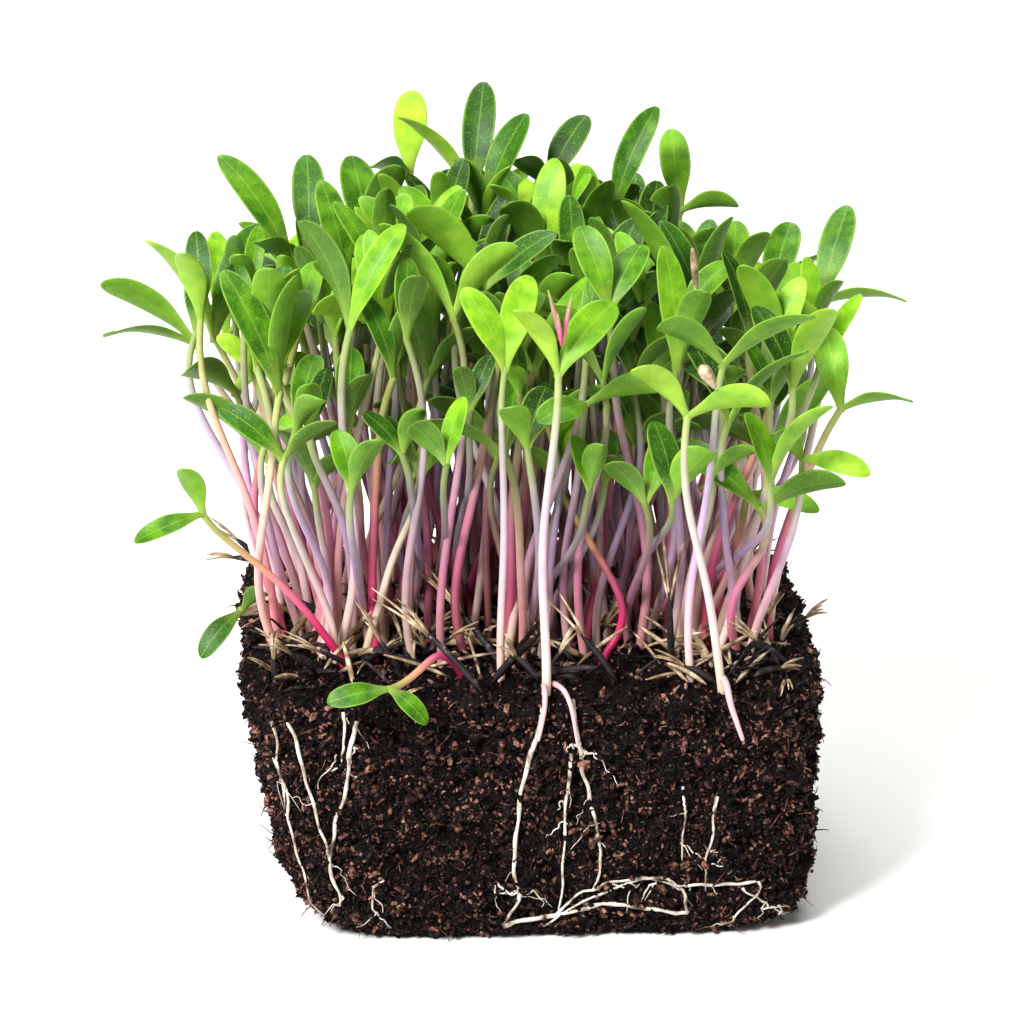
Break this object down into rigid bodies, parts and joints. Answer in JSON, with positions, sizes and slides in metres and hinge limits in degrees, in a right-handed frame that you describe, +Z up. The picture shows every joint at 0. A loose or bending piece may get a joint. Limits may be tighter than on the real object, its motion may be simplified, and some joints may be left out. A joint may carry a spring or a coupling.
{
  "type": "block of living microgreens in soil",
  "caption": "A square block of dark potting soil lifted from its pot, bearing a dense stand of microgreens with pink stems and paired strap-shaped seed leaves.",
  "frame": {"origin": "on the flat underside of the soil block, below the middle of its top", "axes": "+Z up, -Y towards the viewer of the picture, +X to that viewer's right"},
  "size_m": [0.131, 0.1064, 0.123],
  "materials": {
    "soil": null,
    "seedling": null,
    "root": null
  },
  "bodies": {
    "root": {"soil_block": "soil", "sprout_01": "seedling", "sprout_02": "seedling", "sprout_03": "seedling", "sprout_04": "seedling", "sprout_05": "seedling", "sprout_06": "seedling", "sprout_07": "seedling", "sprout_08": "seedling", "sprout_09": "seedling", "sprout_10": "seedling", "sprout_11": "seedling", "sprout_12": "seedling", "sprout_13": "seedling", "sprout_14": "seedling", "sprout_15": "seedling", "sprout_16": "seedling", "sprout_17": "seedling", "sprout_18": "seedling", "sprout_19": "seedling", "sprout_20": "seedling", "sprout_21": "seedling", "sprout_22": "seedling", "sprout_23": "seedling", "sprout_24": "seedling", "sprout_25": "seedling", "sprout_26": "seedling", "sprout_27": "seedling", "sprout_28": "seedling", "sprout_29": "seedling", "sprout_30": "seedling", "sprout_31": "seedling", "sprout_32": "seedling", "sprout_33": "seedling", "sprout_34": "seedling", "sprout_35": "seedling", "sprout_36": "seedling", "sprout_clump_01": "seedling", "sprout_clump_02": "seedling", "sprout_clump_03": "seedling", "sprout_clump_04": "seedling", "sprout_clump_05": "seedling", "sprout_clump_06": "seedling", "sprout_clump_07": "seedling", "sprout_clump_08": "seedling", "sprout_clump_09": "seedling", "sprout_clump_10": "seedling", "sprout_clump_11": "seedling", "sprout_clump_12": "seedling", "sprout_clump_13": "seedling", "sprout_clump_14": "seedling", "sprout_clump_15": "seedling", "sprout_clump_16": "seedling", "sprout_clump_17": "seedling", "sprout_clump_18": "seedling", "sprout_clump_19": "seedling", "sprout_clump_20": "seedling", "root_01": "root", "root_02": "root", "root_03": "root"}
  },
  "joints": []
}
